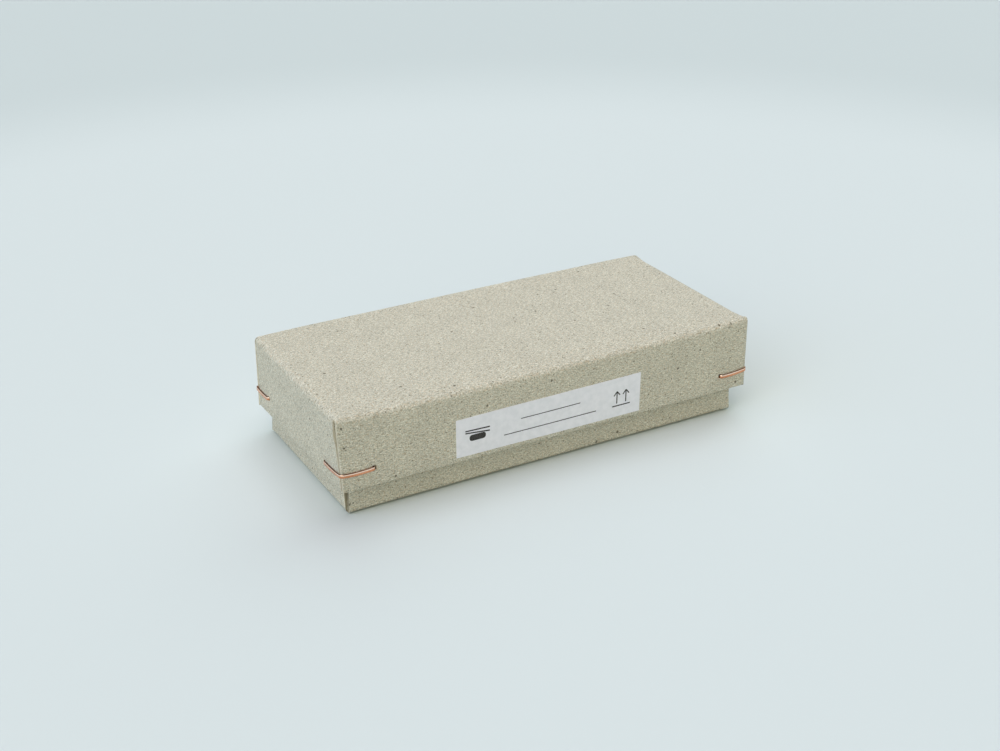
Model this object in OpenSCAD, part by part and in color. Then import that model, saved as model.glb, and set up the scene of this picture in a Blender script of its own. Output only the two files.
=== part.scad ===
// A set of chopstick rests in its box. The box is two scored trays of grey board: a base, and a lid
// that slides down over it. A wire stitch holds each of their corners, and a paper label is stuck to
// the lid's front. Inside, a folded riser carries the rests and a folded deck with windows keeps
// them apart. The box is sized from its contents outwards.
// X runs along the box, -Y is the side with the label, +Z is up, and the origin is the centre of
// the footprint, on the surface that the box stands on.

/* [Rests] */
// Number of rests in the box
rest_count = 5; // [2:1:6]
// Length of a rest, which lies across the box
rest_len = 44; // [36:0.5:60]
// Width of a rest at its ends
rest_wid = 14; // [10:0.5:18]
// Height of a rest at its ends
rest_h = 10; // [8:0.5:14]
// Depth of the saddle that the chopsticks lie in
saddle_dip = 5; // [3:0.25:6]
// How far each side of a rest draws in at its middle
waist_in = 1.3; // [0.5:0.1:2.5]
// Radius over the top of each end of a rest
lobe_r = 3; // [2:0.25:4]
// Corner radius of a rest seen from above
rest_corner_r = 2.4; // [1:0.2:4]
// Rounding of a rest's ends where they meet its underside
rest_foot_r = 0.8; // [0.4:0.1:1.2]

/* [Insert] */
// Thickness of the insert's board
insert_t = 0.8; // [0.5:0.1:1]
// Height of the riser that the rests stand on
riser_h = 11.6; // [8:0.2:18]
// How deep the rests sit in the deck's windows
seat_depth = 4.8; // [3:0.2:6]
// Gap round a rest in its window
window_gap = 0.4; // [0.2:0.1:1]
// Width of the deck's bar between two windows
deck_bar = 9.5; // [5:0.5:14]
// Land of the deck past the first and last windows
deck_end_land = 5; // [3:0.5:12]
// Land of the deck past the ends of the windows
deck_side_land = 3.6; // [2.5:0.1:8]
// Inside radius of the insert's folds
insert_crease_r = 0.5; // [0.2:0.1:1]
// Gap between the riser and the deck's legs
riser_gap = 0.3; // [0.1:0.1:0.6]
// Play of the insert in the base, past the radius of the base's folds
insert_play = 0.1; // [0.05:0.05:0.5]

/* [Board trays] */
// Thickness of the grey board
board_t = 1; // [0.8:0.1:1.4]
// Height of the lid from its top face to its rim
lid_h = 21; // [14:0.5:26]
// Free height over the rests when the box is shut
headroom = 6.4; // [3:0.2:12]
// Inside radius of the lid's folds
lid_crease_r = 1; // [0.4:0.1:1.4]
// Inside radius of the base's folds
base_crease_r = 0.3; // [0.2:0.1:0.8]
// Play between lid and base where two stitches pass each other
lid_play = 0.6; // [0.3:0.1:1.5]
// Slit between a long wall and the end wall's cut edge
seam_gap = 0.2; // [0.1:0.05:0.5]
// How far the lid's long walls stop short of the end walls' outer faces
lid_back = 0.4; // [0.1:0.05:0.6]
// Extra cut-back of the lid's wall ends at its rim
lid_relief = 0.1; // [0:0.05:0.5]
// How far the base's long walls stop short of the end walls' outer faces
base_back = 0.3; // [0.1:0.05:0.6]
// Extra cut-back of the base's wall ends at its rim
base_relief = 0.6; // [0:0.1:1.2]

/* [Wire stitches] */
// Width of the flat wire
wire_w = 1.1; // [0.8:0.1:1.6]
// Thickness of the flat wire
wire_t = 0.5; // [0.3:0.05:0.7]
// Distance from the corner to where the wire enters a wall
stitch_leg = 10; // [7:0.5:14]
// Distance from a tray's rim to the middle of its stitches
stitch_rise = 5; // [3:0.5:7]
// Reach of the clinched wire ends along the inside of the wall
clinch_len = 4; // [2:0.5:5]
// Inside radius of the wire's bends at the wall
wire_bend_r = 0.25; // [0.15:0.05:0.35]
// Inside radius of the wire round the box's corner
corner_bend_r = 0.7; // [0.4:0.1:1.2]
// Clearance round the wire in its slot
wire_play = 0.05; // [0.02:0.01:0.15]
// Torn length of a slot past the wire
tear_len = 0.35; // [0:0.05:0.6]

/* [Label] */
// Length of the label
label_len = 59; // [40:0.5:66]
// Height of the label
label_h = 11.8; // [8:0.2:14]
// Thickness of the label's paper
label_t = 0.12; // [0.08:0.02:0.3]
// Height of the label's lower edge over the lid's rim
label_rise = 0.8; // [0.4:0.1:3]
// Distance of the label's middle to the left of the lid's middle
label_left = 1.6; // [0:0.2:8]

/* [Hidden] */
$fn = 72;
// Facets of the two wide arcs of a rest, of which only a small part is used
wide_fn = 720;
// Overrun of every cut past the face that it leaves
cut = 0.2;

window_len = rest_len + 2 * window_gap;
window_wid = rest_wid + 2 * window_gap;
rest_pitch = window_wid + deck_bar;
deck_len = rest_count * window_wid + (rest_count - 1) * deck_bar + 2 * deck_end_land;
deck_wid = window_len + 2 * deck_side_land;
deck_h = riser_h + seat_depth;
riser_wid = deck_wid - 2 * (insert_t + riser_gap);
insert_gap = base_crease_r + insert_play;

side_gap = 2 * wire_t + lid_play;
base_len = deck_len + 2 * (insert_gap + board_t);
base_wid = deck_wid + 2 * (insert_gap + board_t);
base_h = board_t + riser_h + rest_h + headroom;
lid_len = base_len + 2 * (side_gap + board_t);
lid_wid = base_wid + 2 * (side_gap + board_t);
closed_h = base_h + board_t;
lid_rim_z = closed_h - lid_h;

// Height of a rest at the middle of its saddle, and the saddle's radius, which makes it run
// smoothly into the round tops of the two ends
saddle_h = rest_h - saddle_dip;
lobe_y = rest_len / 2 - lobe_r;
lobe_z = rest_h - lobe_r;
lobe_drop = saddle_h - lobe_z;
saddle_r = (lobe_y * lobe_y + lobe_drop * lobe_drop - lobe_r * lobe_r) / (2 * (lobe_r - lobe_drop));
// Point where the saddle meets the round top of an end
blend_share = lobe_r / (saddle_r + lobe_r);
blend_y = lobe_y * (1 - blend_share);
blend_z = lobe_z + (saddle_h + saddle_r - lobe_z) * blend_share;
// Radius of the shallow curve along each side of a rest
waist_span = rest_len / 2 - rest_corner_r;
waist_r = (waist_span * waist_span + waist_in * waist_in) / (2 * waist_in);

// Radius of the wire's bends at the wall, measured to the middle of the wire
bend_r = wire_bend_r + wire_t / 2;

board_colour = "#cdc3ad";
insert_colour = "#c6bba3";
copper_colour = "#d98a66";
label_colour = "#eef0ee";
brass_colour = "#b8964e";

CORNERS = [["front_left", -1, -1], ["front_right", 1, -1], ["back_left", -1, 1], ["back_right", 1, 1]];

// Extrudes a shape drawn in Y and Z along X, centred on X = 0
module along_x(length) {
    rotate([90, 0, 90]) linear_extrude(height = length, center = true) children();
}

// Extrudes a shape drawn in X and Z along Y, centred on Y = 0
module along_y(length) {
    rotate([90, 0, 0]) linear_extrude(height = length, center = true) children();
}

// Quarter ring of a fold, in the quadrant that points down and to the left of its centre
module crease_section(inner_r, t) {
    outer_r = inner_r + t;
    intersection() {
        difference() {
            circle(r = outer_r);
            circle(r = inner_r);
        }
        translate([-outer_r, -outer_r]) square(outer_r);
    }
}

// Flat wall drawn on X and Z, whose ends run in from half_low at z_low to half_high at z_high
module wall_outline(half_low, half_high, z_low, z_high) {
    polygon([
        [-half_low, z_low],
        [half_low, z_low],
        [half_high, z_high],
        [-half_high, z_high]
    ]);
}

// Open tray folded from one board: its outer face lies on Z = 0, and its rim is at Z = h.
// The long walls run nearly to the corners, and the end walls' cut edges stand between them.
module scored_tray(len, wid, h, crease_r, back, relief) {
    fold_r = crease_r + board_t;
    long_half = len / 2 - back;
    end_half = wid / 2 - board_t - seam_gap;
    translate([fold_r - len / 2, fold_r - wid / 2, 0])
        cube([len - 2 * fold_r, wid - 2 * fold_r, board_t]);
    for (side = [0, 1]) {
        mirror([0, side, 0]) translate([0, fold_r - wid / 2, fold_r]) {
            along_x(2 * long_half) crease_section(crease_r, board_t);
            translate([0, board_t / 2 - fold_r, -fold_r])
                along_y(board_t) wall_outline(long_half, long_half - relief, fold_r, h);
        }
        mirror([side, 0, 0]) translate([fold_r - len / 2, 0, fold_r]) {
            along_y(2 * end_half) crease_section(crease_r, board_t);
            translate([board_t / 2 - fold_r, 0, -fold_r])
                along_x(board_t) wall_outline(end_half, end_half - relief, fold_r, h);
        }
    }
}

// Moves a shape drawn at the origin, for walls that run to +X and +Y, to a corner of a tray
module at_corner(corner, len, wid, z) {
    translate([corner[1] * len / 2, corner[2] * wid / 2, z])
        mirror([corner[1] > 0 ? 1 : 0, 0, 0])
        mirror([0, corner[2] > 0 ? 1 : 0, 0])
        children();
}

// Draws children for one wall at a corner, and again for the other
module both_walls() {
    children();
    mirror([1, -1, 0]) children();
}

// Section of the flat wire with its two round edges, as thick along X as it is wide along Y
module wire_section() {
    edge_y = (wire_w - wire_t) / 2;
    square([wire_t, 2 * edge_y], center = true);
    for (y = [-edge_y, edge_y]) translate([0, y]) circle(d = wire_t);
}

// Quarter turn of wire round Z, of radius r to the wire's middle
module wire_bend(r, start_angle) {
    rotate([0, 0, start_angle]) rotate_extrude(angle = 90) translate([r, 0]) wire_section();
}

// Half of a stitch: the crown along the outside of the wall, the leg through it, and the
// clinched end on its inside, which points back to the corner
module half_stitch() {
    crown_len = stitch_leg - bend_r - corner_bend_r;
    clinch_run = clinch_len - bend_r;
    leg_run = board_t + wire_t - 2 * bend_r;
    bend_x = stitch_leg - bend_r;
    outer_y = -wire_t / 2;
    inner_y = board_t + wire_t / 2;
    translate([bend_x - crown_len / 2, outer_y, 0]) along_x(crown_len) wire_section();
    translate([bend_x, outer_y + bend_r, 0]) wire_bend(bend_r, -90);
    translate([stitch_leg, outer_y + bend_r + leg_run / 2, 0]) along_y(leg_run) wire_section();
    translate([bend_x, inner_y - bend_r, 0]) wire_bend(bend_r, 0);
    translate([bend_x - clinch_run / 2, inner_y, 0]) along_x(clinch_run) wire_section();
}

module stitch() {
    color(copper_colour) {
        both_walls() half_stitch();
        translate([corner_bend_r, corner_bend_r, 0]) wire_bend(corner_bend_r + wire_t / 2, 180);
    }
}

// What a stitch cuts out of the board at a corner: a slot in each wall, and the bite of the
// wire's bend in the corner itself
module stitch_cuts() {
    slot_h = wire_w + 2 * wire_play;
    slot_from = stitch_leg - bend_r - wire_play;
    slot_to = stitch_leg + wire_t / 2 + tear_len;
    both_walls()
        translate([slot_from, -cut, -slot_h / 2]) cube([slot_to - slot_from, board_t + 2 * cut, slot_h]);
    translate([0, 0, -slot_h / 2]) difference() {
        translate([-cut, -cut, 0]) cube([corner_bend_r + cut, corner_bend_r + cut, slot_h]);
        translate([corner_bend_r, corner_bend_r, -cut]) cylinder(r = corner_bend_r, h = slot_h + 2 * cut);
    }
}

module base_tray() {
    color(board_colour) difference() {
        scored_tray(base_len, base_wid, base_h, base_crease_r, base_back, base_relief);
        for (c = CORNERS) at_corner(c, base_len, base_wid, base_h - stitch_rise) stitch_cuts();
    }
}

module lid_tray() {
    color(board_colour) difference() {
        translate([0, 0, closed_h]) rotate([180, 0, 0])
            scored_tray(lid_len, lid_wid, lid_h, lid_crease_r, lid_back, lid_relief);
        for (c = CORNERS) at_corner(c, lid_len, lid_wid, lid_rim_z + stitch_rise) stitch_cuts();
    }
}

module lid_label() {
    color(label_colour)
        translate([-label_left - label_len / 2, -lid_wid / 2 - label_t, lid_rim_z + label_rise])
        cube([label_len, label_t, label_h]);
}

// Channel folded from thin board, open side down: it stands on Z = 0, and its top face is at Z = h
module folded_channel(len, wid, h) {
    fold_r = insert_crease_r + insert_t;
    translate([-len / 2, fold_r - wid / 2, h - insert_t]) cube([len, wid - 2 * fold_r, insert_t]);
    for (side = [0, 1]) mirror([0, side, 0]) {
        translate([0, fold_r - wid / 2, h - fold_r])
            along_x(len) mirror([0, 1]) crease_section(insert_crease_r, insert_t);
        translate([-len / 2, -wid / 2, 0]) cube([len, insert_t, h - fold_r]);
    }
}

function rest_x(i) = (i - (rest_count + 1) / 2) * rest_pitch;

module insert_riser() {
    color(insert_colour) translate([0, 0, board_t]) folded_channel(deck_len, riser_wid, riser_h);
}

module insert_deck() {
    color(insert_colour) translate([0, 0, board_t]) difference() {
        folded_channel(deck_len, deck_wid, deck_h);
        for (i = [1 : rest_count])
            translate([rest_x(i) - window_wid / 2, -window_len / 2, deck_h - insert_t - cut])
            cube([window_wid, window_len, insert_t + 2 * cut]);
    }
}

// Side of a rest on X and Z, X being along the rest: two round-topped ends with a saddle between
module saddle_side() {
    foot_x = rest_len / 2 - rest_foot_r;
    translate([-foot_x, 0]) square([2 * foot_x, lobe_z]);
    translate([-rest_len / 2, rest_foot_r]) square([rest_len, lobe_z - rest_foot_r]);
    for (x = [-1, 1]) {
        translate([x * foot_x, rest_foot_r]) circle(r = rest_foot_r);
        translate([x * lobe_y, lobe_z]) circle(r = lobe_r);
    }
    translate([-blend_y, 0]) square([2 * blend_y, blend_z]);
}

// Plan of a rest on X and Y, Y being along the rest: a rounded oblong drawn in at its middle
module rest_plan() {
    corner_x = rest_wid / 2 - rest_corner_r;
    corner_y = rest_len / 2 - rest_corner_r;
    difference() {
        union() {
            square([2 * corner_x, rest_len], center = true);
            square([rest_wid, 2 * corner_y], center = true);
            for (x = [-corner_x, corner_x], y = [-corner_y, corner_y])
                translate([x, y]) circle(r = rest_corner_r);
        }
        for (side = [-1, 1]) translate([side * (rest_wid / 2 - waist_in + waist_r), 0])
            circle(r = waist_r, $fn = wide_fn);
    }
}

module rest(i) {
    color(brass_colour) translate([rest_x(i), 0, board_t + riser_h]) intersection() {
        difference() {
            rotate([0, 0, 90]) along_y(rest_wid) saddle_side();
            translate([0, 0, saddle_h + saddle_r]) rotate([0, 90, 0])
                cylinder(r = saddle_r, h = rest_wid + 2 * cut, center = true, $fn = wide_fn);
        }
        linear_extrude(height = rest_h) rest_plan();
    }
}

base_tray();
lid_tray();
lid_label();
insert_riser();
insert_deck();
for (c = CORNERS) {
    at_corner(c, base_len, base_wid, base_h - stitch_rise) stitch();
    at_corner(c, lid_len, lid_wid, lid_rim_z + stitch_rise) stitch();
}
for (i = [1 : rest_count]) {
    rest(i);
}
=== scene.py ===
"""Looks for a set of brass chopstick rests in its grey-board box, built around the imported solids.

Every board piece starts as the flat sheet it is cut from. It gets its slots and windows there and
is then folded. The wire stitches start as straight flat wire, which is bent. Lengths are in metres.
"""
import math

import bmesh
import bpy
from mathutils import Matrix, Vector, noise


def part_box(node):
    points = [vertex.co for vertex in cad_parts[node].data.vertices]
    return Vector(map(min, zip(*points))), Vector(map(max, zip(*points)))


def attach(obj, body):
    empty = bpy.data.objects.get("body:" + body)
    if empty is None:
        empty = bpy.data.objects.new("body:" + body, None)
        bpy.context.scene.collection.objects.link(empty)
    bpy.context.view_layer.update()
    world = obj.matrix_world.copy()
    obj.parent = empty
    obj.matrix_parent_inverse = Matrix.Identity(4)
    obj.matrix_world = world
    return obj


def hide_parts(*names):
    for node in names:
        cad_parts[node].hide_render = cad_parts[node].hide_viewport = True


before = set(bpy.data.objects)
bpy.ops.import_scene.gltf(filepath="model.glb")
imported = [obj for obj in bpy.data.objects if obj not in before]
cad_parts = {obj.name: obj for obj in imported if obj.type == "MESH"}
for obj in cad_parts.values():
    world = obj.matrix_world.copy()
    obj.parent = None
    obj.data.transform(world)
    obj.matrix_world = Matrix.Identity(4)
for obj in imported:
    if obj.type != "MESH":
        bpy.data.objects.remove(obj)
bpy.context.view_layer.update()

MM = 0.001
QUARTER_TURN = math.pi / 2

# Without a seed, this noise would differ from run to run
noise.seed_set(1)

# Grey board of the two trays
BOARD_T = 1.0 * MM
CUT_EDGE_ROUND = 0.07 * MM
RELIEF_REACH = 6 * MM
EAR_R = 1.1 * MM
EAR_REACH = 5 * MM
# Between these shares of the way round an ear, a wall's fold takes hold of the board
EAR_HOLD = (0.4, 0.95)

# How far apart the lines of a tray's mesh lie, and how near to one that a cut or a fold needs
WALL_STEP = 3 * MM
FOLD_STEP = 0.2 * MM
WALL_LINE_GAP = 0.16 * MM
PANEL_LINE_GAP = 0.5 * MM

# What handling has done to the trays
FLOOR_SAG = 0.4 * MM
SAG_HEIGHT = 2 * MM
EDGE_REACH = 7 * MM
EDGE_MARGIN = 1 * MM
WAVE_LENGTH = 22 * MM
WAVE_SIZE = 0.1 * MM

# Thinner board of the insert
INSERT_T = 0.8 * MM
INSERT_FOLD = 1.3 * MM
INSERT_FOLD_STEP = 0.25 * MM
WINDOW_GAP = 0.4 * MM
WINDOW_CORNER = 1.2 * MM

# Flat stitching wire
WIRE_W = 1.1 * MM
WIRE_T = 0.5 * MM
WIRE_EDGE = 0.22 * MM
WALL_BEND = 0.5 * MM
CORNER_BEND = 0.95 * MM
CLINCH = 4.0 * MM
CROWN_SAG = 0.25 * MM
CROWN_REACH = 10 * MM
SLOT_PLAY = 0.1 * MM
SLOT_TEAR = 0.45 * MM
WIRE_STEP = 1 * MM
WIRE_BEND_STEP = 0.1 * MM

# Label
LABEL_T = 0.12 * MM
LABEL_LEAN = 0.55 * MM
LABEL_TAPER = 0.6 * MM
LABEL_BAND = 2 * MM
INK_T = 0.015 * MM

# Rests
SADDLE_H = 5 * MM
LOBE_R = 3 * MM
WAIST_IN = 1.3 * MM
REST_CORNER = 2.4 * MM
REST_EDGE = 0.8 * MM
REST_FOOT = 0.5 * MM
CAST_LENGTH = 9 * MM
CAST_SIZE = 0.08 * MM
SADDLE_STEP = 1.5 * MM
# Turns from a lobe's top, in radians
LOBE_STEP = 0.2
LOBE_LAST_TURN = 1.45

# An edge whose faces meet at more than this is a corner, in radians
CORNER_ANGLE = 1.0
SHADE_SHARP_ANGLE = math.radians(40)

# Dark, middle and pale pulp, warm scraps and dark flecks of the trays' board
TRAY_PULP = ("#868370", "#c8c7b6", "#f0eee1", "#cdb692", "#5f5a4b")
# Scraps in the board: spacing and half width in millimetres, share left out, and strength
SCRAPS = ((7.0, 0.34, 0.84, 0.85), (2.6, 0.22, 0.8, 0.65), (0.9, 0.15, 0.7, 0.5))

CORNERS = {"front_left": (-1, -1), "front_right": (1, -1), "back_left": (-1, 1), "back_right": (1, 1)}

# How the hand-folded trays differ from true ones, at their corners, as moves in millimetres
LID_TOP_SKEW = {(-1, -1): (-0.15, 0.11, -0.06), (1, -1): (0.6, 0.35, 0.3),
                (-1, 1): (0.0, 0.19, 0.17), (1, 1): (0.3, -0.2, 0.3)}
LID_RIM_SKEW = {(-1, -1): (0.6, -0.6, -0.4), (1, -1): (0.3, -0.1, -0.4),
                (-1, 1): (-0.45, 0.07, -0.2), (1, 1): (0.0, 0.0, -0.2)}
BASE_FOOT_SKEW = {(-1, -1): (-0.2, -0.65, 0.4), (1, -1): (-0.13, -0.6, 0.4),
                  (-1, 1): (-0.7, 0.8, 0.3), (1, 1): (0.0, 0.0, 0.3)}
BASE_RIM_SKEW = {(-1, -1): (-0.1, 0.0, 0.0), (1, -1): (-0.1, 0.05, 0.0),
                 (-1, 1): (0.1, 0.0, 0.0), (1, 1): (0.0, -0.1, 0.0)}
# How far the lid's top edges rise between the ears: front, back, left and right
LID_EDGE_RISE = (-0.75, 0.35, 0.0, -0.1)
# How much deeper the lid's stitches end than they start, on the long wall and on the end wall
LID_STITCH_LEAN = {(-1, -1): (0.0, 0.9), (1, -1): (0.35, 0.0), (-1, 1): (0.0, -0.3), (1, 1): (0.0, 0.2)}
BASE_STITCH_LEAN = {(-1, -1): (0.2, 0.0), (1, -1): (0.0, 0.3), (-1, 1): (-0.3, 0.0), (1, 1): (0.0, 0.2)}


def linear(hex_colour):
    """The linear RGBA of an sRGB hex colour."""
    parts = [int(hex_colour[i:i + 2], 16) / 255 for i in (1, 3, 5)]
    return [c / 12.92 if c <= 0.04045 else ((c + 0.055) / 1.055) ** 2.4 for c in parts] + [1.0]


def s_curve(low, high, value):
    """0 up to low, 1 from high, and an S-curve between them."""
    t = min(max((value - low) / (high - low), 0.0), 1.0)
    return t * t * (3 - 2 * t)


def even_steps(low, high, step):
    """Places from low to high, both included, about a step apart."""
    count = max(1, round((high - low) / step))
    return [low + (high - low) * i / count for i in range(count + 1)]


# Materials

def add_node(tree, kind, sockets=None, **settings):
    """Adds a node. Each of its sockets gets a value, an output, or a node's first output."""
    made = tree.nodes.new(kind)
    for name, value in settings.items():
        setattr(made, name, value)
    for socket, value in (sockets or {}).items():
        if isinstance(value, bpy.types.Node):
            value = next(output for output in value.outputs if output.enabled)
        if isinstance(value, bpy.types.NodeSocket):
            tree.links.new(value, made.inputs[socket])
        else:
            made.inputs[socket].default_value = value
    return made


def new_material(name):
    """A material with no nodes yet, and its node tree."""
    material = bpy.data.materials.new(name)
    material.use_nodes = True
    material.node_tree.nodes.clear()
    return material, material.node_tree


def grey_board(name, thickness, dark, mid, pale, warm, fleck, core):
    """Unlined grey board, pressed from waste paper: dead matt and finely mottled, with short fibres
    that lie along the sheet, warm and grey scraps of paper, and a browner layered core where it is
    cut. The pattern follows the flat sheet, in millimetres, so it runs round the folds."""
    material, tree = new_material(name)
    sheet = add_node(tree, "ShaderNodeAttribute", attribute_name="sheet").outputs["Vector"]
    # Real fibres are about 0.02 mm wide, and are drawn ten times as coarse
    pulp = add_node(tree, "ShaderNodeTexNoise",
                    {"Vector": sheet, "Scale": 1 / 0.38, "Detail": 4.0, "Roughness": 0.8})
    cloud = add_node(tree, "ShaderNodeTexNoise", {"Vector": sheet, "Scale": 1 / 9.0, "Detail": 3.0})
    hue = add_node(tree, "ShaderNodeTexNoise", {"Vector": sheet, "Scale": 1 / 0.55, "Detail": 1.0})
    fibres = 0.0
    for turn in (0.3, 1.4, 2.45):
        lie = add_node(tree, "ShaderNodeMapping",
                       {"Vector": sheet, "Rotation": (0, 0, turn), "Scale": (0.3, 1.7, 1.7)})
        run = add_node(tree, "ShaderNodeTexNoise", {"Vector": lie, "Scale": 1 / 0.4, "Detail": 1.0})
        fibres = add_node(tree, "ShaderNodeMath", {0: fibres, 1: run}, operation="MAXIMUM")
    tone = add_node(tree, "ShaderNodeMath", {0: pulp, 1: 0.6}, operation="MULTIPLY")
    tone = add_node(tree, "ShaderNodeMath", {0: fibres, 1: 0.4, 2: tone}, operation="MULTIPLY_ADD")
    darker = add_node(tree, "ShaderNodeMapRange", {"Value": tone, "From Min": 0.42, "From Max": 0.54})
    paler = add_node(tree, "ShaderNodeMapRange", {"Value": tone, "From Min": 0.54, "From Max": 0.65})
    warmer = add_node(tree, "ShaderNodeMapRange",
                      {"Value": hue, "From Min": 0.5, "From Max": 0.64, "To Max": 0.38})
    colour = add_node(tree, "ShaderNodeMix", {0: darker, 6: linear(dark), 7: linear(mid)}, data_type="RGBA")
    colour = add_node(tree, "ShaderNodeMix", {0: paler, 6: colour, 7: linear(pale)}, data_type="RGBA")
    colour = add_node(tree, "ShaderNodeMix", {0: warmer, 6: colour, 7: linear(warm)}, data_type="RGBA")
    drift = add_node(tree, "ShaderNodeMapRange",
                     {"Value": cloud, "From Min": 0.3, "From Max": 0.7, "To Min": 0.95, "To Max": 1.04})
    colour = add_node(tree, "ShaderNodeVectorMath", {0: colour, "Scale": drift}, operation="SCALE")
    # Scraps of darker paper: a few large ones, and more the smaller they are, with ragged outlines
    ragged = add_node(tree, "ShaderNodeTexNoise", {"Vector": sheet, "Scale": 3.0, "Detail": 1.0})
    torn = add_node(tree, "ShaderNodeVectorMath",
                    {0: ragged.outputs["Color"], 1: (0.5, 0.5, 0.5), 2: sheet}, operation="MULTIPLY_ADD")
    for spacing, half_width, rarity, strength in SCRAPS:
        cells = add_node(tree, "ShaderNodeTexVoronoi", {"Vector": torn, "Scale": 1 / spacing},
                         voronoi_dimensions="2D")
        scrap = add_node(tree, "ShaderNodeMath", {0: cells, 1: half_width / spacing}, operation="LESS_THAN")
        chance = add_node(tree, "ShaderNodeSeparateColor", {"Color": cells.outputs["Color"]})
        kept = add_node(tree, "ShaderNodeMath", {0: chance, 1: rarity}, operation="GREATER_THAN")
        shown = add_node(tree, "ShaderNodeMath", {0: scrap, 1: kept}, operation="MULTIPLY")
        shown = add_node(tree, "ShaderNodeMath", {0: shown, 1: strength}, operation="MULTIPLY")
        colour = add_node(tree, "ShaderNodeMix", {0: shown, 6: colour, 7: linear(fleck)}, data_type="RGBA")
    # Cut edges: how deep in the board a point lies, from either skin
    depth = add_node(tree, "ShaderNodeSeparateXYZ", {"Vector": sheet}).outputs["Z"]
    from_back = add_node(tree, "ShaderNodeMath", {0: thickness / MM, 1: depth}, operation="SUBTRACT")
    inside = add_node(tree, "ShaderNodeMath", {0: depth, 1: from_back}, operation="MINIMUM")
    raw = add_node(tree, "ShaderNodeMapRange",
                   {"Value": inside, "From Min": 0.03, "From Max": 0.09, "To Max": 0.9})
    layers = add_node(tree, "ShaderNodeMapping", {"Vector": sheet, "Scale": (0.5, 0.5, 6.0)})
    plies = add_node(tree, "ShaderNodeTexNoise", {"Vector": layers, "Scale": 1 / 0.8, "Detail": 2.0})
    layered = add_node(tree, "ShaderNodeMapRange",
                       {"Value": plies, "From Min": 0.35, "From Max": 0.65, "To Min": 0.75, "To Max": 1.2})
    raw_colour = add_node(tree, "ShaderNodeVectorMath", {0: linear(core)[:3], "Scale": layered},
                          operation="SCALE")
    colour = add_node(tree, "ShaderNodeMix", {0: raw, 6: colour, 7: raw_colour}, data_type="RGBA")
    bump = add_node(tree, "ShaderNodeBump", {"Height": tone, "Distance": 0.065 * MM, "Strength": 1.0})
    shader = add_node(tree, "ShaderNodeBsdfPrincipled",
                      {"Base Color": colour, "Roughness": 0.93, "IOR": 1.45, "Specular IOR Level": 0.25,
                       "Normal": bump})
    add_node(tree, "ShaderNodeOutputMaterial", {"Surface": shader})
    return material


def label_paper():
    """Uncoated white label paper: matt, with a faint tooth and a cloudy formation."""
    material, tree = new_material("uncoated_label_paper")
    place = add_node(tree, "ShaderNodeTexCoord").outputs["Object"]
    in_mm = add_node(tree, "ShaderNodeMapping", {"Vector": place, "Scale": (1 / MM, 1 / MM, 1 / MM)})
    cloud = add_node(tree, "ShaderNodeTexNoise", {"Vector": in_mm, "Scale": 1 / 1.8, "Detail": 3.0})
    tooth = add_node(tree, "ShaderNodeTexNoise", {"Vector": in_mm, "Scale": 1 / 0.3, "Detail": 2.0})
    cloudy = add_node(tree, "ShaderNodeMapRange", {"Value": cloud, "From Min": 0.35, "From Max": 0.65})
    colour = add_node(tree, "ShaderNodeMix",
                      {0: cloudy, 6: linear("#e3e6eb"), 7: linear("#ebedf2")}, data_type="RGBA")
    bump = add_node(tree, "ShaderNodeBump", {"Height": tooth, "Distance": 0.01 * MM, "Strength": 1.0})
    shader = add_node(tree, "ShaderNodeBsdfPrincipled",
                      {"Base Color": colour, "Roughness": 0.7, "IOR": 1.45, "Specular IOR Level": 0.3,
                       "Normal": bump})
    add_node(tree, "ShaderNodeOutputMaterial", {"Surface": shader})
    return material


def printing_ink():
    """Black offset ink on uncoated paper: it sinks in, so it is a matt dark grey with a fine grain."""
    material, tree = new_material("offset_printing_ink")
    place = add_node(tree, "ShaderNodeTexCoord").outputs["Object"]
    in_mm = add_node(tree, "ShaderNodeMapping", {"Vector": place, "Scale": (1 / MM, 1 / MM, 1 / MM)})
    grain = add_node(tree, "ShaderNodeTexNoise", {"Vector": in_mm, "Scale": 1 / 0.25, "Detail": 2.0})
    worn = add_node(tree, "ShaderNodeMapRange", {"Value": grain, "From Min": 0.4, "From Max": 0.7})
    colour = add_node(tree, "ShaderNodeMix",
                      {0: worn, 6: linear("#2b2a29"), 7: linear("#474542")}, data_type="RGBA")
    shader = add_node(tree, "ShaderNodeBsdfPrincipled",
                      {"Base Color": colour, "Roughness": 0.6, "IOR": 1.5, "Specular IOR Level": 0.3})
    add_node(tree, "ShaderNodeOutputMaterial", {"Surface": shader})
    return material


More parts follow.
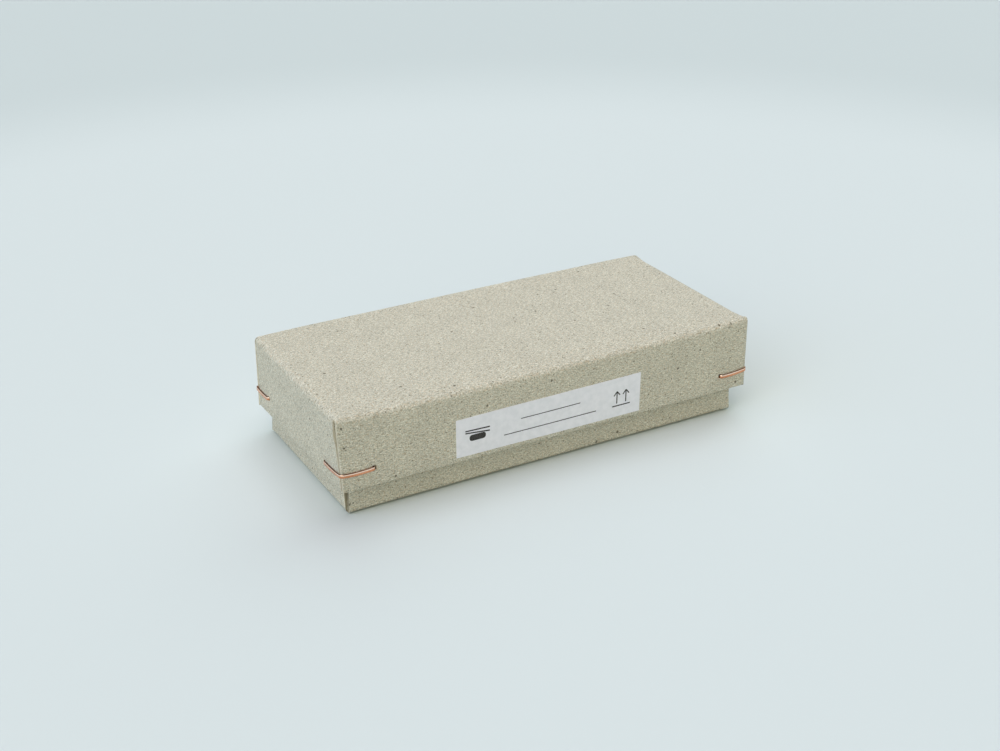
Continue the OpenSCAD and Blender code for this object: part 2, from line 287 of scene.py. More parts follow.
def copper_wire():
    """Copper-plated steel stitching wire, drawn and rolled flat: a pink metal, with a painted highlight
    along its crown and painted shade on its upper side."""
    material, tree = new_material("copper_plated_stitching_wire")
    place = add_node(tree, "ShaderNodeTexCoord").outputs["Object"]
    in_mm = add_node(tree, "ShaderNodeMapping", {"Vector": place, "Scale": (1 / MM, 1 / MM, 1 / MM)})
    rub = add_node(tree, "ShaderNodeTexNoise", {"Vector": in_mm, "Scale": 1 / 1.5, "Detail": 3.0})
    drawn = add_node(tree, "ShaderNodeTexNoise", {"Vector": in_mm, "Scale": 1 / 0.2, "Detail": 2.0})
    rubbed = add_node(tree, "ShaderNodeMapRange", {"Value": rub, "From Min": 0.4, "From Max": 0.65})
    colour = add_node(tree, "ShaderNodeMix",
                      {0: rubbed, 6: linear("#e5a27c"), 7: linear("#cf8a64")}, data_type="RGBA")
    across = add_node(tree, "ShaderNodeAttribute", attribute_name="across").outputs["Fac"]
    across = add_node(tree, "ShaderNodeMath", {0: rub, 1: 0.15, 2: across}, operation="MULTIPLY_ADD")
    # Painted highlight: a pale band along the wire's crown, placed by where a point lies across the wire
    crown = add_node(tree, "ShaderNodeMapRange", {"Value": across, "From Min": 0.2, "From Max": 0.28})
    colour = add_node(tree, "ShaderNodeMix", {0: crown, 6: colour, 7: linear("#ffe3cf")}, data_type="RGBA")
    # Painted shade: a dark band along the wire's upper side
    painted_shade_band = add_node(tree, "ShaderNodeMapRange", {"Value": across, "From Min": 0.47, "From Max": 0.55})
    colour = add_node(tree, "ShaderNodeMix", {0: painted_shade_band, 6: colour, 7: linear("#7d523c")}, data_type="RGBA")
    dull = add_node(tree, "ShaderNodeMapRange",
                    {"Value": rub, "From Min": 0.3, "From Max": 0.7, "To Min": 0.2, "To Max": 0.38})
    bump = add_node(tree, "ShaderNodeBump", {"Height": drawn, "Distance": 0.01 * MM, "Strength": 1.0})
    shader = add_node(tree, "ShaderNodeBsdfPrincipled",
                      {"Base Color": colour, "Metallic": 1.0, "Roughness": dull, "Normal": bump})
    add_node(tree, "ShaderNodeOutputMaterial", {"Surface": shader})
    return material


def cast_brass():
    """Sand-cast brass, tumbled and left bare: a warm yellow metal with the sand's fine grain, brighter
    on its high places and browner in the pits."""
    material, tree = new_material("sand_cast_brass")
    place = add_node(tree, "ShaderNodeTexCoord").outputs["Object"]
    in_mm = add_node(tree, "ShaderNodeMapping", {"Vector": place, "Scale": (1 / MM, 1 / MM, 1 / MM)})
    tarnish = add_node(tree, "ShaderNodeTexNoise", {"Vector": in_mm, "Scale": 1 / 7.0, "Detail": 3.0})
    sand = add_node(tree, "ShaderNodeTexNoise",
                    {"Vector": in_mm, "Scale": 1 / 0.6, "Detail": 4.0, "Roughness": 0.6})
    pits = add_node(tree, "ShaderNodeTexNoise",
                    {"Vector": in_mm, "Scale": 1 / 1.3, "Detail": 3.0, "Roughness": 0.6})
    tarnished = add_node(tree, "ShaderNodeMapRange", {"Value": tarnish, "From Min": 0.35, "From Max": 0.65})
    pitted = add_node(tree, "ShaderNodeMapRange",
                      {"Value": pits, "From Min": 0.6, "From Max": 0.72, "To Max": 0.6})
    colour = add_node(tree, "ShaderNodeMix",
                      {0: tarnished, 6: linear("#dcbc79"), 7: linear("#c9a462")}, data_type="RGBA")
    colour = add_node(tree, "ShaderNodeMix", {0: pitted, 6: colour, 7: linear("#8c6c3d")}, data_type="RGBA")
    dull = add_node(tree, "ShaderNodeMapRange",
                    {"Value": sand, "From Min": 0.3, "From Max": 0.7, "To Min": 0.28, "To Max": 0.46})
    height = add_node(tree, "ShaderNodeMath", {0: sand, 1: pitted}, operation="SUBTRACT")
    bump = add_node(tree, "ShaderNodeBump", {"Height": height, "Distance": 0.05 * MM, "Strength": 1.0})
    shader = add_node(tree, "ShaderNodeBsdfPrincipled",
                      {"Base Color": colour, "Metallic": 1.0, "Roughness": dull, "Normal": bump})
    add_node(tree, "ShaderNodeOutputMaterial", {"Surface": shader})
    return material


def backdrop_card():
    """A sheet of pale matt backdrop card, with painted shade that makes it a little darker far from the
    box.
    """
    material, tree = new_material("pale_backdrop_card")
    place = add_node(tree, "ShaderNodeTexCoord").outputs["Object"]
    away = add_node(tree, "ShaderNodeVectorMath", {0: place}, operation="LENGTH").outputs["Value"]
    # Painted shade: the card darkens away from the box, standing in for the lamps' light falling off
    far = add_node(tree, "ShaderNodeMapRange",
                   {"Value": away, "From Min": 0.31, "From Max": 0.46}, interpolation_type="SMOOTHSTEP")
    colour = add_node(tree, "ShaderNodeMix",
                      {0: far, 6: linear("#d5dfde"), 7: linear("#c9d4d3")}, data_type="RGBA")
    shader = add_node(tree, "ShaderNodeBsdfPrincipled",
                      {"Base Color": colour, "Roughness": 0.9, "Specular IOR Level": 0.1})
    add_node(tree, "ShaderNodeOutputMaterial", {"Surface": shader})
    return material


# Board pieces

def cut_across(bm, axis, lines):
    """Cuts a ring of edges into a mesh at each of the given places along one axis."""
    normal = Vector((0, 0, 0))
    normal[axis] = 1
    for line in lines:
        bmesh.ops.bisect_plane(bm, geom=bm.verts[:] + bm.edges[:] + bm.faces[:], dist=1e-7,
                               plane_co=normal * line, plane_no=normal)


def cut_sheet(span_u, span_v, lines_u, lines_v, thickness, is_cut_away):
    """A flat sheet with its outer skin on Z = 0, edges along the given lines, and its cut-outs."""
    bm = bmesh.new()
    bmesh.ops.create_grid(bm, x_segments=1, y_segments=1, size=0.5)
    bmesh.ops.translate(bm, vec=(0.5, 0.5, 0), verts=bm.verts)
    bmesh.ops.scale(bm, vec=(span_u[1] - span_u[0], span_v[1] - span_v[0], 1), verts=bm.verts)
    bmesh.ops.translate(bm, vec=(span_u[0], span_v[0], 0), verts=bm.verts)
    cut_across(bm, 0, lines_u)
    cut_across(bm, 1, lines_v)
    waste = [face for face in bm.faces if is_cut_away(*face.calc_center_median().xy)]
    bmesh.ops.delete(bm, geom=waste, context="FACES")
    bmesh.ops.solidify(bm, geom=bm.faces[:], thickness=thickness)
    lowest = min(vert.co.z for vert in bm.verts)
    bmesh.ops.translate(bm, vec=(0, 0, -lowest), verts=bm.verts)
    bmesh.ops.recalc_face_normals(bm, faces=bm.faces)
    return bm


def round_edges(bm, edges, radius, segments):
    """Rounds edges off, and gives the points that this makes."""
    return bmesh.ops.bevel(bm, geom=edges, offset=radius, offset_type="OFFSET", segments=segments,
                           profile=0.5, affect="EDGES", material=-1, clamp_overlap=True)["verts"]


def round_cut_edges(bm):
    """Takes the sharpness off the edges that the knife left."""
    sharp = [edge for edge in bm.edges if edge.calc_face_angle(0) > CORNER_ANGLE]
    round_edges(bm, sharp, CUT_EDGE_ROUND, 2)


def mark_sheet(bm, shift):
    """Stores each point's place on the flat sheet, in millimetres, for the board's material."""
    layer = bm.verts.layers.float_vector.new("sheet")
    for vert in bm.verts:
        vert[layer] = vert.co / MM + Vector(shift)


def fold_line(place, depth, start, outer_r, tight_r, thickness):
    """Folds one way. Place is the distance from the sheet's middle, and depth that from its outer
    skin. Where the fold is tighter than its own radius, the board stays flat on either side of it.
    Gives the new distance from the middle, and the rise that comes with it."""
    beyond = max(abs(place) - start, 0.0)
    arc = (outer_r - thickness / 2) * QUARTER_TURN
    tight_arc = (tight_r - thickness / 2) * QUARTER_TURN
    spare = outer_r - tight_r
    run = min(beyond / arc, 1.0) * (tight_arc + 2 * spare)
    angle = min(max(run - spare, 0.0) / tight_arc, 1.0) * QUARTER_TURN
    straight = max(run - spare - tight_arc, 0.0) + max(beyond - arc, 0.0)
    out = min(abs(place), start) + min(run, spare) + (tight_r - depth) * math.sin(angle)
    return math.copysign(out, place), (tight_r - depth) * (1 - math.cos(angle)) + straight


class Tray:
    """A scored tray as it is drawn on its flat sheet, with its outer panel on Z = 0.
    Fold radii are those of the ends, the front and the back. Backs are how far the front, the back
    and the end walls stop short of the corners, and reliefs how much more the long and the end walls
    do so at the relief height. Legs are the reaches of the stitches along the long walls, left and
    right, and along the end walls, front and back. Stitch rise is their height over the rim."""

    def __init__(self, node, opens_up, fold_radii, backs, reliefs, relief_height, legs, stitch_rise,
                 leans):
        low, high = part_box(node)
        self.node, self.opens_up = node, opens_up
        self.half_x, self.half_y = high.x, high.y
        self.low, self.high, self.height = low.z, high.z, high.z - low.z
        self.fold_end, self.fold_front, self.fold_back = fold_radii
        self.long_ends = [self.half_x - backs[0], self.half_x - backs[1]]
        self.short_end = self.half_y - backs[2]
        self.long_relief, self.short_relief = reliefs
        self.relief_height = relief_height
        self.legs = legs
        self.stitch_depth = self.height - stitch_rise
        self.leans = leans

    def long_end(self, side):
        """How far the front or the back reaches from the middle."""
        return self.long_ends[0 if side < 0 else 1]

    def fold_y(self, side):
        """Outer radius of the fold on the front or the back."""
        return self.fold_front if side < 0 else self.fold_back

    def down_wall(self, half, fold_r, depth):
        """Distance on the flat sheet from the middle to a place that far down a wall."""
        return half + (fold_r - BOARD_T / 2) * QUARTER_TURN + depth - 2 * fold_r

    def wall_lines(self, half, fold_r, ends, slot, slot_depths):
        """Places of the edges on one side of the flat sheet: the cut ends, slots, folds and wall."""
        slot_half = WIRE_W / 2 + SLOT_PLAY
        needed = ends + slot + [depth + side * slot_half for depth in slot_depths for side in (-1, 1)]
        start = half - fold_r
        bend_end = start + (fold_r - BOARD_T / 2) * QUARTER_TURN
        rim = self.down_wall(half, fold_r, self.height)
        free = even_steps(start, bend_end, FOLD_STEP) + even_steps(bend_end, rim, WALL_STEP)[1:-1]
        return needed + [line for line in free if all(abs(line - n) > WALL_LINE_GAP for n in needed)]

    def slot_along(self, half, leg):
        """Where a wire's slot starts and ends along a wall, as distances from the wall's middle."""
        return [half - leg - WIRE_T / 2 - SLOT_TEAR, half - leg + WALL_BEND]

    def slots(self, u, v):
        """The slots' reaches and depths on the sides of the sheet that a place is on."""
        leg_u = self.legs[0][0 if u < 0 else 1]
        leg_v = self.legs[1][0 if v < 0 else 1]
        lean_long, lean_end = self.leans[-1 if u < 0 else 1, -1 if v < 0 else 1]
        deep_u = self.down_wall(self.half_x, self.fold_end, self.stitch_depth + lean_end * MM)
        deep_v = self.down_wall(self.half_y, self.fold_y(v), self.stitch_depth + lean_long * MM)
        return self.slot_along(self.half_x, leg_u), self.slot_along(self.half_y, leg_v), deep_u, deep_v

    def is_cut_away(self, u, v):
        """True in the corners and in the slots of the flat sheet."""
        along_u, along_v, deep_u, deep_v = self.slots(u, v)
        slot_half = WIRE_W / 2 + SLOT_PLAY
        in_corner = abs(u) > self.long_end(v) and abs(v) > self.short_end
        in_long_wall = along_u[0] < abs(u) < along_u[1] and abs(abs(v) - deep_v) < slot_half
        in_end_wall = along_v[0] < abs(v) < along_v[1] and abs(abs(u) - deep_u) < slot_half
        return in_corner or in_long_wall or in_end_wall

    def sheet(self):
        """The flat sheet, with its corners cut out and its slots pierced."""
        lines_u, lines_v = [], []
        for side in (-1, 1):
            along_u, along_v, _, _ = self.slots(side, side)
            deeps_u = [self.slots(side, other)[2] for other in (-1, 1)]
            deeps_v = [self.slots(other, side)[3] for other in (-1, 1)]
            walls_u = self.wall_lines(self.half_x, self.fold_end, self.long_ends, along_u, deeps_u)
            walls_v = self.wall_lines(self.half_y, self.fold_y(side), [self.short_end], along_v, deeps_v)
            lines_u += [side * line for line in walls_u]
            lines_v += [side * line for line in walls_v]
        for half, lines in ((self.half_x, lines_u), (self.half_y, lines_v)):
            panel = even_steps(WALL_STEP - half, half - WALL_STEP, WALL_STEP)
            lines += [line for line in panel
                      if all(abs(line - other) > PANEL_LINE_GAP for other in lines)]
        rim_u = self.down_wall(self.half_x, self.fold_end, self.height)
        rims_v = [self.down_wall(self.half_y, self.fold_y(side), self.height) for side in (-1, 1)]
        return cut_sheet((-rim_u, rim_u), (-rims_v[0], rims_v[1]), lines_u, lines_v, BOARD_T,
                         self.is_cut_away)

    def ease_ends(self, u, v):
        """Cuts the ends of the walls back a little further, from the fold to the relief's height.
        Where a relief is less than zero, the walls come closer to each other instead."""
        down_u = s_curve(0, self.relief_height, abs(u) - self.half_x)
        down_v = s_curve(0, self.relief_height, abs(v) - self.half_y)
        near_u = s_curve(self.long_end(v) - RELIEF_REACH, self.long_end(v), abs(u))
        near_v = s_curve(self.short_end - RELIEF_REACH, self.short_end, abs(v))
        eased_u = u - math.copysign(self.long_relief * down_v * near_u, u)
        eased_v = v - math.copysign(self.short_relief * down_u * near_v, v)
        return eased_u, eased_v

    def fold(self, u, v, depth):
        """Where a point of the sheet goes when all walls are folded. The folds get tighter towards
        the corners. Where two of them cross, the board can't follow both, so an ear of it stays up."""
        fold_y = self.fold_y(v)
        start_u, start_v = self.half_x - self.fold_end, self.half_y - fold_y
        by_end = s_curve(self.half_x - EAR_REACH, self.long_end(v), abs(u))
        by_side = s_curve(self.half_y - EAR_REACH, self.short_end, abs(v))
        tight_end = self.fold_end + (EAR_R - self.fold_end) * by_side
        tight_y = fold_y + (EAR_R - fold_y) * by_end
        past_u = max(abs(u) - start_u, 0.0) / (self.long_end(v) - start_u)
        past_v = max(abs(v) - start_v, 0.0) / (self.short_end - start_v)
        share_u, share_v = 1.0, 1.0
        if past_u > 0 and past_v > 0:
            bias = math.atan2(past_v, past_u) / QUARTER_TURN
            share_u, share_v = s_curve(*EAR_HOLD, 1 - bias), s_curve(*EAR_HOLD, bias)
        x, rise_u = fold_line(u, depth, start_u, self.fold_end, tight_end, BOARD_T)
        y, rise_v = fold_line(v, depth, start_v, fold_y, tight_y, BOARD_T)
        x = x * share_u + u * (1 - share_u)
        y = y * share_v + v * (1 - share_v)
        return Vector((x, y, depth + rise_u * share_u + rise_v * share_v))


def skewed(point, tray, low_skew, high_skew, seed):
    """Moves a point of a true tray to where it is on the hand-folded one: the corners' own moves,
    and a slight waviness of the board."""
    across = (point.x / tray.half_x + 1) / 2
    along = (point.y / tray.half_y + 1) / 2
    up = (point.z - tray.low) / tray.height
    move = Vector((0, 0, 0))
    for (side_x, side_y), low_move in low_skew.items():
        weight = (across if side_x > 0 else 1 - across) * (along if side_y > 0 else 1 - along)
        move += weight * ((1 - up) * Vector(low_move) + up * Vector(high_skew[side_x, side_y])) * MM
    wave = noise.noise_vector(point / WAVE_LENGTH + Vector((seed, 0, 0)))
    return point + move + wave * WAVE_SIZE


def edge_rise(place, half, low_rise, high_rise, along, half_along):
    """How much higher a lid's top edge is at a place between its ears than at its corners."""
    at_edge = s_curve(half - EDGE_REACH, half - EDGE_MARGIN, abs(place))
    between_ears = max(1 - (along / half_along) ** 6, 0.0)
    return (low_rise if place < 0 else high_rise) * at_edge * between_ears


def lid_place(point):
    """Where a point of the lid, its wires or its label is on the hand-folded lid. Its top edges are
    not level between the ears."""
    front, back, left, right = LID_EDGE_RISE
    rise = edge_rise(point.y, LID.half_y, front, back, point.x, LID.half_x)
    rise += edge_rise(point.x, LID.half_x, left, right, point.y, LID.half_y)
    moved = skewed(point, LID, LID_RIM_SKEW, LID_TOP_SKEW, 3.0)
    moved.z += rise * ((point.z - LID.low) / LID.height) ** 3 * MM
    return moved


def base_place(point):
    """Where a point of the base or its wires is on the hand-folded base. Its floor sags a little, and
    the base stands on the middle of it."""
    moved = skewed(point, BASE, BASE_FOOT_SKEW, BASE_RIM_SKEW, 11.0)
    low_share = 1 - min(point.z / SAG_HEIGHT, 1.0)
    middle_share = max(1 - (point.x / BASE.half_x) ** 2, 0.0) * max(1 - (point.y / BASE.half_y) ** 2, 0.0)
    moved.z = max(moved.z - FLOOR_SAG * low_share * middle_share, 0.0)
    return moved


def finish_piece(bm, name, material, body, replaces=()):
    """Makes a piece of the object from a bmesh. It rides on a body and stands for its solids."""
    bmesh.ops.recalc_face_normals(bm, faces=bm.faces)
    for face in bm.faces:
        face.smooth = True
    mesh = bpy.data.meshes.new(name)
    bm.to_mesh(mesh)
    bm.free()
    mesh.set_sharp_from_angle(angle=SHADE_SHARP_ANGLE)
    piece = bpy.data.objects.new(name, mesh)
    bpy.context.scene.collection.objects.link(piece)
    mesh.materials.append(material)
    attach(piece, body)
    if replaces:
        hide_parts(*replaces)
    return piece


def tray_piece(tray, place, name, material, body, shift):
    """Cuts, folds and skews a tray."""
    bm = tray.sheet()
    round_cut_edges(bm)
    mark_sheet(bm, shift)
    for vert in bm.verts:
        u, v = tray.ease_ends(vert.co.x, vert.co.y)
        folded = tray.fold(u, v, vert.co.z)
        folded.z = tray.low + folded.z if tray.opens_up else tray.high - folded.z
        vert.co = place(folded)
    return finish_piece(bm, name, material, body, [tray.node])


def channel_piece(node, name, windows, material, shift):
    """The folded riser or deck of the insert. Windows are the middles of the deck's openings."""
    low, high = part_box(node)
    arc = (INSERT_FOLD - INSERT_T / 2) * QUARTER_TURN
    start = high.y - INSERT_FOLD
    half_v = start + arc + high.z - low.z - INSERT_FOLD
    rest_low, rest_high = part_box("rest_1")
    gap_x = (rest_high.x - rest_low.x) / 2 + WINDOW_GAP
    gap_y = rest_high.y + WINDOW_GAP
    lines_u = [middle + side * gap_x for middle in windows for side in (-1, 1)]
    lines_v = [side * line for line in even_steps(start, start + arc, INSERT_FOLD_STEP) for side in (-1, 1)]
    lines_v += [-gap_y, gap_y] if windows else []

    def in_window(u, v):
        return abs(v) < gap_y and any(abs(u - middle) < gap_x for middle in windows)

    bm = cut_sheet((low.x, high.x), (-half_v, half_v), lines_u, lines_v, INSERT_T, in_window)
    corners = [edge for edge in bm.edges if edge.calc_face_angle(0) > CORNER_ANGLE
               and abs(edge.verts[0].co.z - edge.verts[1].co.z) > INSERT_T / 2
               and abs(abs(edge.verts[0].co.y) - gap_y) < 0.01 * MM]
    if windows:
        round_edges(bm, corners, WINDOW_CORNER, 5)
    round_cut_edges(bm)
    mark_sheet(bm, shift)
    for vert in bm.verts:
        y, rise = fold_line(vert.co.y, vert.co.z, start, INSERT_FOLD, INSERT_FOLD, INSERT_T)
        vert.co = Vector((vert.co.x, y, high.z - vert.co.z - rise))
    return finish_piece(bm, name, material, "base", [node])


# Wire stitches

def wire_route(leg_x, leg_y):
    """The stretches of one stitch, seen from above with the corner at the origin and the walls along
    +X and +Y. Each is its start on the straight wire, its length, its place, its heading and its
    bend radius, which is 0 where it is straight. Every bend turns a quarter to the right."""
    through = BOARD_T + WIRE_T - 2 * WALL_BEND
    crown_end = WALL_BEND + CORNER_BEND - WIRE_T / 2
    clinched = CLINCH - WALL_BEND
    straights = [clinched, through, leg_x - crown_end, leg_y - crown_end, through, clinched]
    bends = [WALL_BEND, WALL_BEND, CORNER_BEND, WALL_BEND, WALL_BEND, 0.0]
    run, heading = 0.0, 0.0
    spot = Vector((leg_x - CLINCH, BOARD_T + WIRE_T / 2))
    stretches = []
    for straight, bend_r in zip(straights, bends):
        stretches.append((run, straight, spot.copy(), heading, 0.0))
        spot += Vector((math.cos(heading), math.sin(heading))) * straight
        run += straight
        if bend_r:
            stretches.append((run, bend_r * QUARTER_TURN, spot.copy(), heading, bend_r))
            right = Vector((math.sin(heading), -math.cos(heading)))
            heading -= QUARTER_TURN
            spot += (right - Vector((math.sin(heading), -math.cos(heading)))) * bend_r
            run += bend_r * QUARTER_TURN
    return stretches, run


def on_route(stretches, along, aside):
    """The place of a point of the straight wire once the wire is bent."""
    start, _, spot, heading, bend_r = [s for s in stretches if s[0] <= along + 1e-9][-1]
    if bend_r:
        right = Vector((math.sin(heading), -math.cos(heading)))
        turned = heading - (along - start) / bend_r
        new_right = Vector((math.sin(turned), -math.cos(turned)))
        return spot + right * bend_r - new_right * (bend_r + aside)
    ahead = Vector((math.cos(heading), math.sin(heading)))
    return spot + ahead * (along - start) + Vector((-ahead.y, ahead.x)) * aside


def stitch_piece(tray, corner, place, name, node, material, body):
    """One wire stitch round a corner: its ends are clinched flat inside, and its crown is outside."""
    side_x, side_y = CORNERS[corner]
    leg_x = tray.legs[0][0 if side_x < 0 else 1]
    leg_y = tray.legs[1][0 if side_y < 0 else 1]
    stretches, run = wire_route(leg_x, leg_y)
    bm = bmesh.new()
    bmesh.ops.create_cube(bm, size=1)
    bmesh.ops.scale(bm, vec=(run, WIRE_T, WIRE_W), verts=bm.verts)
    bmesh.ops.translate(bm, vec=(run / 2, 0, 0), verts=bm.verts)
    long_edges = [e for e in bm.edges if abs(e.verts[0].co.x - e.verts[1].co.x) > run / 2]
    round_edges(bm, long_edges, WIRE_EDGE, 3)
    for start, length, _, _, bend_r in stretches:
        step = WIRE_BEND_STEP if bend_r else WIRE_STEP
        cut_across(bm, 0, even_steps(start, start + length, step)[1:])
    # Where each point lies across the wire's width, in millimetres; the wire's material paints its
    # highlight and shade by it
    layer = bm.verts.layers.float.new("across")
    lean_long, lean_end = tray.leans[side_x, side_y]
    for vert in bm.verts:
        vert[layer] = vert.co.z / MM
        spot = on_route(stretches, vert.co.x, vert.co.y)
        is_outside = min(spot.x, spot.y) < BOARD_T / 2
        reach = min(max(spot.x, spot.y) / CROWN_REACH, 1.0) if is_outside else 0.0
        sag = CROWN_SAG * math.sin(math.pi * reach)
        lean = lean_long * spot.x / leg_x if spot.x > spot.y else lean_end * spot.y / leg_y
        depth = tray.stitch_depth + lean * MM
        middle = tray.low + depth if tray.opens_up else tray.high - depth
        vert.co = place(Vector((side_x * (tray.half_x - spot.x), side_y * (tray.half_y - spot.y),
                                middle + vert.co.z - sag)))
    return finish_piece(bm, name, material, body, [node])


# Label

def flat_marks(marks, thickness, back):
    """Thin oblongs on the lid's front, each a middle, a size, a turn in degrees and a corner radius,
    in millimetres seen from the front."""
    bm = bmesh.new()
    for (x, z), (width, height), turn, corner_r in marks:
        made = bmesh.ops.create_cube(bm, size=1)["verts"]
        bmesh.ops.scale(bm, vec=(width * MM, thickness, height * MM), verts=made)
        if corner_r:
            upright = [e for e in {e for v in made for e in v.link_edges}
                       if abs(e.verts[0].co.y - e.verts[1].co.y) > thickness / 2]
            made = round_edges(bm, upright, corner_r * MM, 4)
        turned = Matrix.Rotation(math.radians(turn), 3, "Y")
        bmesh.ops.rotate(bm, cent=(0, 0, 0), matrix=turned, verts=made)
        bmesh.ops.translate(bm, vec=(x * MM, back - thickness / 2, z * MM), verts=made)
    return bm


def stick_on_lid(bm, name, material, replaces):
    """Cuts a flat piece into narrow bands and lays it on the lid's slightly wavy front. The label
    is cut a little out of square."""
    low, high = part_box("lid_label")
    cut_across(bm, 0, even_steps(low.x, high.x, LABEL_BAND))
    cut_across(bm, 2, even_steps(low.z, high.z, LABEL_BAND))
    for vert in bm.verts:
        down = (high.z - vert.co.z) / (high.z - low.z)
        to_left = (high.x - vert.co.x) / (high.x - low.x)
        vert.co.x -= LABEL_LEAN * down
        vert.co.z += LABEL_TAPER * down * to_left
        vert.co = lid_place(vert.co)
    return finish_piece(bm, name, material, "lid", replaces)


def label_pieces(paper, ink):
    """The label on the lid's front, printed with a bowl and chopsticks, two rules and two arrows."""
    low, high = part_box("lid_label")
    middle, size = (low + high) / 2 / MM, (high - low) / MM
    turn = -0.25
    front = -LID.half_y
    label = flat_marks([((middle.x, middle.z), (size.x, size.z), turn, 0)], LABEL_T, front)
    stick_on_lid(label, "label", paper, ["lid_label"])
    bowl_and_chopsticks = [
        ((-24.6, 14.9), (5.0, 1.9), turn, 0.8),
        ((-24.6, 16.3), (7.6, 0.4), 6.0, 0.18),
        ((-24.6, 17.2), (7.6, 0.4), 2.0, 0.18),
    ]
    rules = [((-1.6, 17.0), (19.0, 0.25), turn, 0), ((-1.6, 13.2), (29.6, 0.25), turn, 0)]
    this_side_up = [((21.6, 13.2), (6.0, 0.35), turn, 0)]
    for stem in (20.1, 23.1):
        this_side_up.append(((stem, 15.7), (0.35, 3.6), turn, 0))
        for side in (-1, 1):
            this_side_up.append(((stem + 0.5 * side, 16.95), (0.35, 1.6), -40.0 * side, 0))
    marks = bowl_and_chopsticks + rules + this_side_up
    stick_on_lid(flat_marks(marks, INK_T, front - LABEL_T), "label_print", ink, [])


# Rests

def rest_piece(node, material, seed):
    """One rest: a block with two round-topped ends, a saddle between them and a slight waist."""
    low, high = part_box(node)
    size, middle = high - low, (low + high) / 2
    half_len, half_wid = size.y / 2, size.x / 2
    lobe_y, lobe_z = half_len - LOBE_R, size.z - LOBE_R
    drop = SADDLE_H - lobe_z
    saddle_r = (lobe_y ** 2 + drop ** 2 - LOBE_R ** 2) / (2 * (LOBE_R - drop))
    blend_y = lobe_y * (1 - LOBE_R / (saddle_r + LOBE_R))
    waist_y = half_len - REST_CORNER

    def top(y):
        if abs(y) < blend_y:
            return SADDLE_H + saddle_r - math.sqrt(saddle_r ** 2 - y * y)
        return lobe_z + math.sqrt(max(LOBE_R ** 2 - (abs(y) - lobe_y) ** 2, 0.0))

    bm = bmesh.new()
    bmesh.ops.create_cube(bm, size=1)
    bmesh.ops.scale(bm, vec=size, verts=bm.verts)
    bmesh.ops.translate(bm, vec=(0, 0, size.z / 2), verts=bm.verts)
    upright = [e for e in bm.edges if abs(e.verts[0].co.z - e.verts[1].co.z) > size.z / 2]
    round_edges(bm, upright, REST_CORNER, 8)
    lobe_turns = even_steps(math.asin((blend_y - lobe_y) / LOBE_R), LOBE_LAST_TURN, LOBE_STEP)
    lobe_lines = [side * (lobe_y + LOBE_R * math.sin(a)) for a in lobe_turns for side in (-1, 1)]
    cut_across(bm, 1, even_steps(-blend_y, blend_y, SADDLE_STEP)[1:-1] + lobe_lines)
    for vert in bm.verts:
        y = vert.co.y
        vert.co.z = top(y) if vert.co.z > size.z / 2 else 0.0
        vert.co.x *= 1 - WAIST_IN / half_wid * max(1 - (y / waist_y) ** 2, 0.0)
    for at_top, offset in ((True, REST_EDGE), (False, REST_FOOT)):
        rim = [e for e in bm.edges if e.calc_face_angle(0) > 0.7
               and (min(v.co.z for v in e.verts) > 1 * MM) == at_top
               and max(v.co.z for v in e.verts) - min(v.co.z for v in e.verts) < 3 * MM]
        round_edges(bm, rim, offset, 3)
    for vert in bm.verts:
        uneven = noise.noise_vector(vert.co / CAST_LENGTH + Vector((seed, 0, 0))) * CAST_SIZE
        uneven.z = min(uneven.z, 0.0) if vert.co.z > 1 * MM else 0.0
        vert.co += uneven + Vector((middle.x, middle.y, low.z))
    return finish_piece(bm, "brass_" + node, material, node, [node])


# Studio

def add_floor(material):
    """A flat sheet of backdrop card under the box, 8 m across."""
    bm = bmesh.new()
    bmesh.ops.create_grid(bm, x_segments=1, y_segments=1, size=4)
    mesh = bpy.data.meshes.new("floor")
    bm.to_mesh(mesh)
    bm.free()
    mesh.materials.append(material)
    floor = bpy.data.objects.new("floor", mesh)
    bpy.context.scene.collection.objects.link(floor)


def add_light():
    """Four wide soft lamps far off, whose warm and cool light mixes to white, and a world that only
    the camera and reflections see, in the backdrop's colour."""
    world = bpy.data.worlds.new("studio")
    bpy.context.scene.world = world
    world.use_nodes = True
    tree = world.node_tree
    tree.nodes.clear()
    path = add_node(tree, "ShaderNodeLightPath").outputs
    seen = add_node(tree, "ShaderNodeMath", {0: path["Is Camera Ray"], 1: path["Is Glossy Ray"]},
                    operation="MAXIMUM")
    seen = add_node(tree, "ShaderNodeMath", {0: seen, 1: path["Is Transmission Ray"]}, operation="MAXIMUM")
    pale = add_node(tree, "ShaderNodeBackground", {"Color": linear("#ccd7d7"), "Strength": seen})
    add_node(tree, "ShaderNodeOutputWorld", {"Surface": pale})
    spread = math.radians(60)
    lamps = [("overhead", (0.0, 0.0, 1.0), 1.44, (1.0, 0.924, 0.989)),
             ("left_side", (-1.0, 0.0, 0.6), 1.05, (0.54, 0.684, 1.0)),
             ("front_left", (-0.7, -0.7, 0.6), 1.59, (1.0, 0.931, 0.74)),
             ("back_right", (0.7, 0.7, 0.8), 1.24, (0.874, 1.0, 1.0))]
    for name, direction, strength, colour in lamps:
        light = bpy.data.lights.new(name, "SUN")
        light.angle = spread
        light.energy = strength
        light.color = colour
        lamp = bpy.data.objects.new(name, light)
        lamp.rotation_euler = Vector(direction).to_track_quat("Z", "Y").to_euler()
        bpy.context.scene.collection.objects.link(lamp)


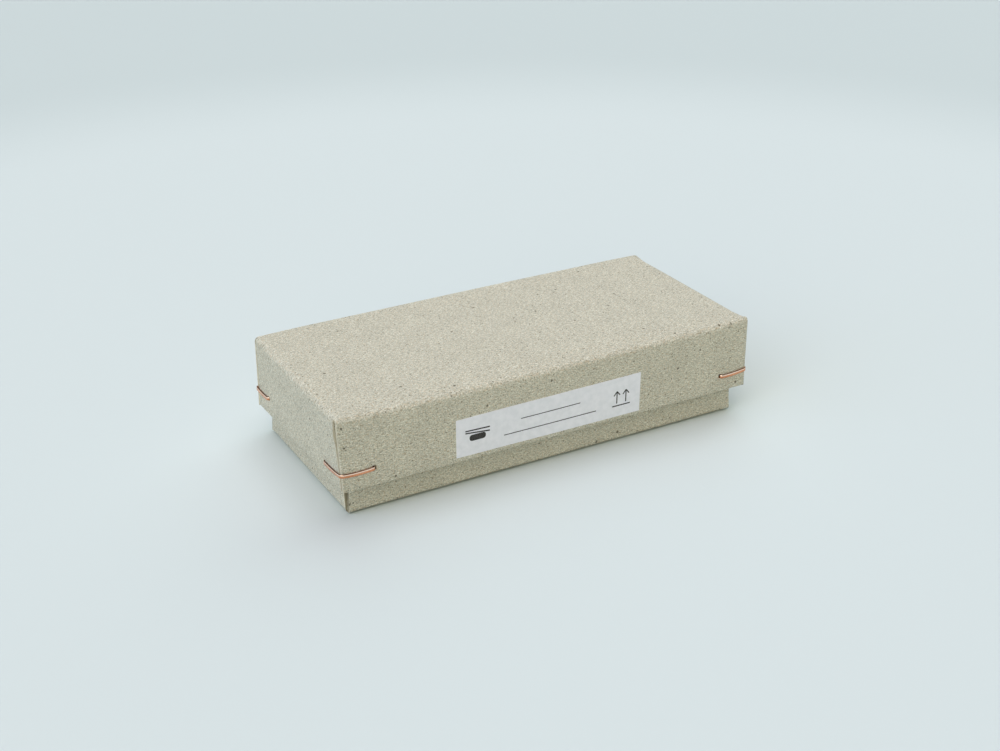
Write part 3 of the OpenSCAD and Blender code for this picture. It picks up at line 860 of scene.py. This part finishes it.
def add_camera():
    """The photograph's view: its turn, height and roll in degrees, and its distance and framing in
    millimetres, all measured on the box's own edges."""
    turn, rise, roll = (math.radians(angle) for angle in (-28.158, 25.768, -0.730))
    back = Vector((math.sin(turn) * math.cos(rise), -math.cos(turn) * math.cos(rise), math.sin(rise)))
    right = Vector((0, 0, 1)).cross(back).normalized()
    up = back.cross(right)
    rolled_right = right * math.cos(roll) + up * math.sin(roll)
    rolled_up = up * math.cos(roll) - right * math.sin(roll)
    distance, to_left, above = 447.88, 1.186, 13.201
    spot = (back * distance - rolled_right * to_left + rolled_up * above) * MM
    data = bpy.data.cameras.new("camera")
    data.lens = 54.0
    data.sensor_width = 36.0
    data.clip_start = 0.01
    camera = bpy.data.objects.new("camera", data)
    turned = Matrix((rolled_right, rolled_up, back)).transposed().to_4x4()
    camera.matrix_world = Matrix.Translation(spot) @ turned
    bpy.context.scene.collection.objects.link(camera)
    bpy.context.scene.camera = camera


LID = Tray("lid_tray", opens_up=False,
           fold_radii=(2.0 * MM, 1.7 * MM, 1.2 * MM), backs=(0.12 * MM, 0.6 * MM, 1.26 * MM),
           reliefs=(0.0, -0.12 * MM), relief_height=9 * MM,
           legs=((9.4 * MM, 8.8 * MM), (11.0 * MM, 8.8 * MM)), stitch_rise=5 * MM,
           leans=LID_STITCH_LEAN)
BASE = Tray("base_tray", opens_up=True,
            fold_radii=(1.3 * MM, 1.3 * MM, 1.3 * MM), backs=(0.45 * MM, 0.45 * MM, 1.2 * MM),
            reliefs=(0.35 * MM, 0.9 * MM), relief_height=6 * MM,
            legs=((10 * MM, 10 * MM), (10 * MM, 10 * MM)), stitch_rise=5 * MM,
            leans=BASE_STITCH_LEAN)

lid_stock = grey_board("recycled_grey_board", BOARD_T, *TRAY_PULP, "#c3bda8")
# The base is the same board as the lid, but its cut edges get a darker core: painted shade in its open
# corner notches
base_stock_with_painted_shade = grey_board("recycled_grey_board_painted_shade_core", BOARD_T, *TRAY_PULP, "#8a846e")
insert_board = grey_board("thin_grey_board", INSERT_T, "#86826d", "#c1bdab", "#e5e0d2", "#c5ad8a",
                          "#5f594b", "#aca68f")
copper = copper_wire()
brass = cast_brass()

# The last value of each board piece is where it lies on the big sheet of board, in millimetres
tray_piece(LID, lid_place, "lid_board", lid_stock, "lid", (0, 0, 0))
tray_piece(BASE, base_place, "base_board", base_stock_with_painted_shade, "base", (180, 40, 0))
for corner_name in CORNERS:
    stitch_piece(LID, corner_name, lid_place, "lid_wire_" + corner_name, "lid_stitch_" + corner_name,
                 copper, "lid")
    stitch_piece(BASE, corner_name, base_place, "base_wire_" + corner_name, "base_stitch_" + corner_name,
                 copper, "base")
label_pieces(label_paper(), printing_ink())
rests = sorted(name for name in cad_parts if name.startswith("rest_"))
rest_middles = [(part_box(name)[0].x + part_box(name)[1].x) / 2 for name in rests]
channel_piece("insert_riser", "folded_riser", [], insert_board, (400, 0, 0))
channel_piece("insert_deck", "folded_deck", rest_middles, insert_board, (400, 150, 0))
for number, name in enumerate(rests):
    rest_piece(name, brass, 5.0 * number)

add_floor(backdrop_card())
add_light()
add_camera()
bpy.context.scene.view_settings.view_transform = "Standard"
